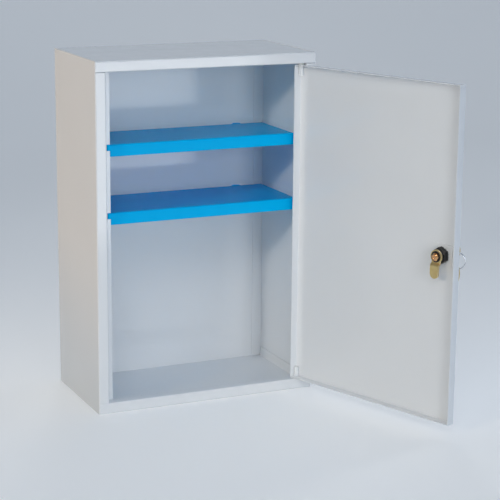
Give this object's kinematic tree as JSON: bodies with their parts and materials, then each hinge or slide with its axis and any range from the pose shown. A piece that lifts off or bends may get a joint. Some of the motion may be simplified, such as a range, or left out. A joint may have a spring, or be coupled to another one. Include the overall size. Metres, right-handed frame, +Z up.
{
  "type": "lockable wall cabinet",
  "caption": "Folded-steel wall cabinet with fixed shelves, a pin-hinged door standing open, and a keyed cam lock with its key, ring and spare key.",
  "frame": {"origin": "middle of the case's underside", "axes": "+Z up, +Y towards the wall behind the case, the door side faces -Y, +X to the right seen from the front, where the door is hinged"},
  "size_m": [0.4003, 0.4075, 0.45],
  "materials": {
    "case_paint": "gloss white powder coat",
    "shelf_paint": "gloss blue powder coat",
    "pin_steel": "zinc plated",
    "lock_chrome": "polished",
    "black_finish": "black oxide",
    "cam_plating": "yellow zinc plated",
    "lock_brass": "satin",
    "nylon": "matte"
  },
  "bodies": {
    "case": {"side_left": "case_paint", "side_right": "case_paint", "top_panel": "case_paint", "bottom_panel": "case_paint", "back_panel": "case_paint", "shelf_upper": "shelf_paint", "shelf_lower": "shelf_paint", "hinge_pin_top": "pin_steel", "hinge_pin_bottom": "pin_steel", "hinge_washer_bottom": "nylon"},
    "door": {"door_panel": "case_paint", "hinge_sleeve_top": "case_paint", "hinge_sleeve_bottom": "case_paint", "hinge_washer_top": "nylon", "lock_doubler": "case_paint", "lock_barrel": "lock_chrome", "lock_tooth_washer": "pin_steel", "lock_nut": "black_finish"},
    "plug": {"lock_plug": "lock_chrome", "lock_wafers": "lock_brass", "lock_stop_washer": "pin_steel", "lock_cam": "cam_plating", "cam_spring_washer": "black_finish", "cam_screw": "lock_brass"},
    "key": {"lock_key": "lock_brass"},
    "ring": {"key_ring": "lock_chrome"},
    "spare": {"spare_key": "lock_brass"}
  },
  "joints": [
    {"name": "door_hinge", "type": "hinge", "parent": "case", "child": "door", "pos_m": [0.1304, -0.0759, 0.225], "axis": [0, 0, 1], "range_deg": [-110, 0]},
    {"name": "lock_turn", "type": "hinge", "parent": "door", "child": "plug", "pos_m": [0.2163, -0.29993, 0.225], "axis": [-0.9397, -0.342, 0], "range_deg": [0, 90]},
    {"name": "key_pull", "type": "slide", "parent": "plug", "child": "key", "axis": [0.9397, 0.342, 0], "range_m": [0, 0.02]},
    {"name": "ring_swing", "type": "hinge", "parent": "key", "child": "ring", "pos_m": [0.24121, -0.29087, 0.22356], "axis": [0.766, -0.6428, 0], "range_deg": [-15, 60]},
    {"name": "spare_key_swing", "type": "hinge", "parent": "ring", "child": "spare", "pos_m": [0.24121, -0.29087, 0.20256], "axis": [0.766, -0.6428, 0], "range_deg": [-15, 30]}
  ]
}
